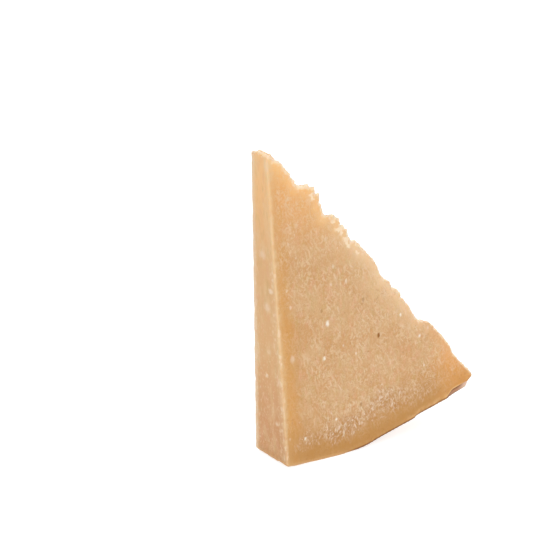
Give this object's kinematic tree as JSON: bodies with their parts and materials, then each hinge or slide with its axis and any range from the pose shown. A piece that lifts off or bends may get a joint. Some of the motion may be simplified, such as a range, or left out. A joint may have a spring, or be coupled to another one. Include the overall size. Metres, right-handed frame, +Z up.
{
  "type": "parmesan wedge",
  "caption": "Tall loose wedge of hard, grainy cheese on its curved rind, with a smooth cut face and a craggy broken slope.",
  "frame": {"origin": "middle of the bounding box at floor level, under the wedge", "axes": "+Z up from the rind, +X from the cut face towards the tip, +Y from the front face to the back face"},
  "size_m": [0.1268, 0.03, 0.1633],
  "materials": {
    "cheese": "hard straw-coloured cheese paste with pale crystals and fine vertical streaks, cream along the broken edges, golden brown on the rind, slightly waxy"
  },
  "bodies": {
    "root": {"parmesan_wedge": "cheese"}
  },
  "joints": []
}
